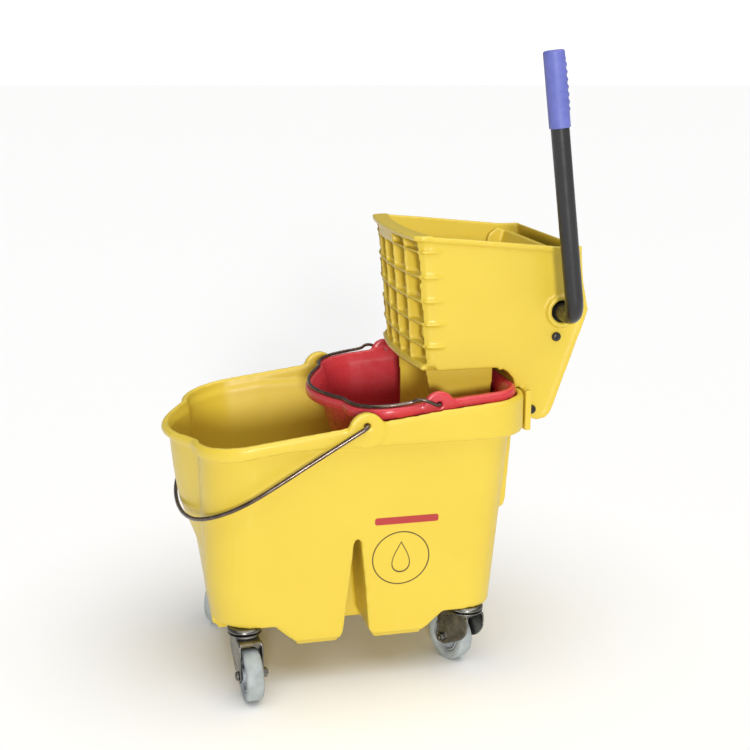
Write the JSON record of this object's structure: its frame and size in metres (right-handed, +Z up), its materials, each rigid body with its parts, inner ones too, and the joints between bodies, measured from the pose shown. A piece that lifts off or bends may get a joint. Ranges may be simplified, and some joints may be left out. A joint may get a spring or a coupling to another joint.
{
  "type": "wheeled mop bucket with wringer",
  "caption": "Wheeled plastic mop bucket with pouring spout, wire handles, a lift-out inner bucket and a lift-off side-press wringer worked by an upright lever.",
  "frame": {"origin": "on the floor, at the middle of the whole object's footprint", "axes": "+Z up, +X from the pouring spout towards the wringer, +Y away from the side that the lever stands on"},
  "size_m": [0.601, 0.3976, 0.892],
  "materials": {
    "yellow_plastic": "moulded polypropylene, satin",
    "red_plastic": "moulded polypropylene, satin",
    "bail_wire": "dark drawn wire, glossy",
    "black_tube": "black powder coat, semi-gloss",
    "blue_grip": "soft vinyl, ribbed",
    "zinc_plate": "zinc plated pressed steel",
    "wheel_hub": "grey nylon",
    "grey_tyre": "grey non-marking rubber",
    "black_bolt": "dark oxide",
    "spring_steel": "bare spring steel",
    "black_bush": "black nylon"
  },
  "bodies": {
    "bucket": {"bucket": "yellow_plastic", "caster_stem_front_near": "zinc_plate", "caster_stem_front_far": "zinc_plate", "caster_stem_rear_near": "zinc_plate", "caster_stem_rear_far": "zinc_plate"},
    "bucket_bail": {"bucket_bail": "bail_wire"},
    "inner_bucket": {"inner_bucket": "red_plastic"},
    "inner_bail": {"inner_bail": "bail_wire"},
    "wringer": {"wringer_housing": "yellow_plastic", "wringer_grid": "yellow_plastic", "anchor_rod": "zinc_plate", "anchor_bolt_near": "black_bolt", "anchor_bolt_far": "black_bolt", "brace_rod": "zinc_plate", "brace_bolt_near": "black_bolt", "brace_bolt_far": "black_bolt", "lever_bush_near": "black_bush", "shaft_bush_far": "black_bush", "return_spring_near": "spring_steel", "return_spring_far": "spring_steel", "plate_hinge_rod": "zinc_plate"},
    "press_plate": {"press_plate": "yellow_plastic"},
    "lever": {"lever_tube": "black_tube", "lever_grip": "blue_grip", "press_shaft": "zinc_plate", "shaft_clip": "zinc_plate", "crank_arm_near": "zinc_plate", "crank_arm_far": "zinc_plate", "push_bar": "zinc_plate"},
    "fork_front_near": {"caster_fork_front_near": "zinc_plate", "axle_bolt_front_near": "zinc_plate", "axle_nut_front_near": "zinc_plate"},
    "wheel_front_near": {"wheel_hub_front_near": "wheel_hub", "wheel_tyre_front_near": "grey_tyre"},
    "fork_front_far": {"caster_fork_front_far": "zinc_plate", "axle_bolt_front_far": "zinc_plate", "axle_nut_front_far": "zinc_plate"},
    "wheel_front_far": {"wheel_hub_front_far": "wheel_hub", "wheel_tyre_front_far": "grey_tyre"},
    "fork_rear_near": {"caster_fork_rear_near": "zinc_plate", "axle_bolt_rear_near": "zinc_plate", "axle_nut_rear_near": "zinc_plate"},
    "wheel_rear_near": {"wheel_hub_rear_near": "wheel_hub", "wheel_tyre_rear_near": "grey_tyre"},
    "fork_rear_far": {"caster_fork_rear_far": "zinc_plate", "axle_bolt_rear_far": "zinc_plate", "axle_nut_rear_far": "zinc_plate"},
    "wheel_rear_far": {"wheel_hub_rear_far": "wheel_hub", "wheel_tyre_rear_far": "grey_tyre"}
  },
  "joints": [
    {"name": "wringer_lift", "type": "slide", "parent": "bucket", "child": "wringer", "axis": [0, 0, 1], "range_m": [0, 0.6]},
    {"name": "inner_bucket_lift", "type": "slide", "parent": "bucket", "child": "inner_bucket", "axis": [0, 0, 1], "range_m": [0, 0.36]},
    {"name": "lever_swing", "type": "hinge", "parent": "wringer", "child": "lever", "pos_m": [0.2605, 0, 0.534], "axis": [0, 1, 0], "range_deg": [-85, 0], "stiffness_Nm_per_rad": 2.5, "springref_deg": 17.19},
    {"name": "press_swing", "type": "hinge", "parent": "wringer", "child": "press_plate", "pos_m": [0.2215, 0, 0.472], "axis": [0, 1, 0], "range_deg": [-36.5, 0]},
    {"name": "bucket_bail_swing", "type": "hinge", "parent": "bucket", "child": "bucket_bail", "pos_m": [-0.034, 0, 0.4], "axis": [0, 1, 0], "range_deg": [0, 100]},
    {"name": "inner_bail_swing", "type": "hinge", "parent": "inner_bucket", "child": "inner_bail", "pos_m": [0.0715, 0, 0.4198], "axis": [0, 1, 0], "range_deg": [0, 70]},
    {"name": "swivel_front_near", "type": "hinge", "parent": "bucket", "child": "fork_front_near", "pos_m": [-0.201, -0.129, 0.09], "axis": [0, 0, 1], "continuous": true},
    {"name": "roll_front_near", "type": "hinge", "parent": "fork_front_near", "child": "wheel_front_near", "pos_m": [-0.19755, -0.16182, 0.0375], "axis": [0.9945, 0.1045, 0], "continuous": true},
    {"name": "swivel_front_far", "type": "hinge", "parent": "bucket", "child": "fork_front_far", "pos_m": [-0.201, 0.129, 0.09], "axis": [0, 0, 1], "continuous": true},
    {"name": "roll_front_far", "type": "hinge", "parent": "fork_front_far", "child": "wheel_front_far", "pos_m": [-0.21649, 0.09986, 0.0375], "axis": [0.8829, -0.4695, 0], "continuous": true},
    {"name": "swivel_rear_near", "type": "hinge", "parent": "bucket", "child": "fork_rear_near", "pos_m": [0.128, -0.129, 0.09], "axis": [0, 0, 1], "continuous": true},
    {"name": "roll_rear_near", "type": "hinge", "parent": "fork_rear_near", "child": "wheel_rear_near", "pos_m": [0.11302, -0.0996, 0.0375], "axis": [-0.891, -0.454, 0], "continuous": true},
    {"name": "swivel_rear_far", "type": "hinge", "parent": "bucket", "child": "fork_rear_far", "pos_m": [0.128, 0.129, 0.09], "axis": [0, 0, 1], "continuous": true},
    {"name": "roll_rear_far", "type": "hinge", "parent": "fork_rear_far", "child": "wheel_rear_far", "pos_m": [0.10814, 0.15535, 0.0375], "axis": [-0.7986, -0.6018, 0], "continuous": true}
  ],
  "couplings": [
    {"joint": "inner_bucket_lift", "follows": "wringer_lift", "ratio": 0.6},
    {"joint": "press_swing", "follows": "lever_swing", "ratio": 0.428}
  ]
}
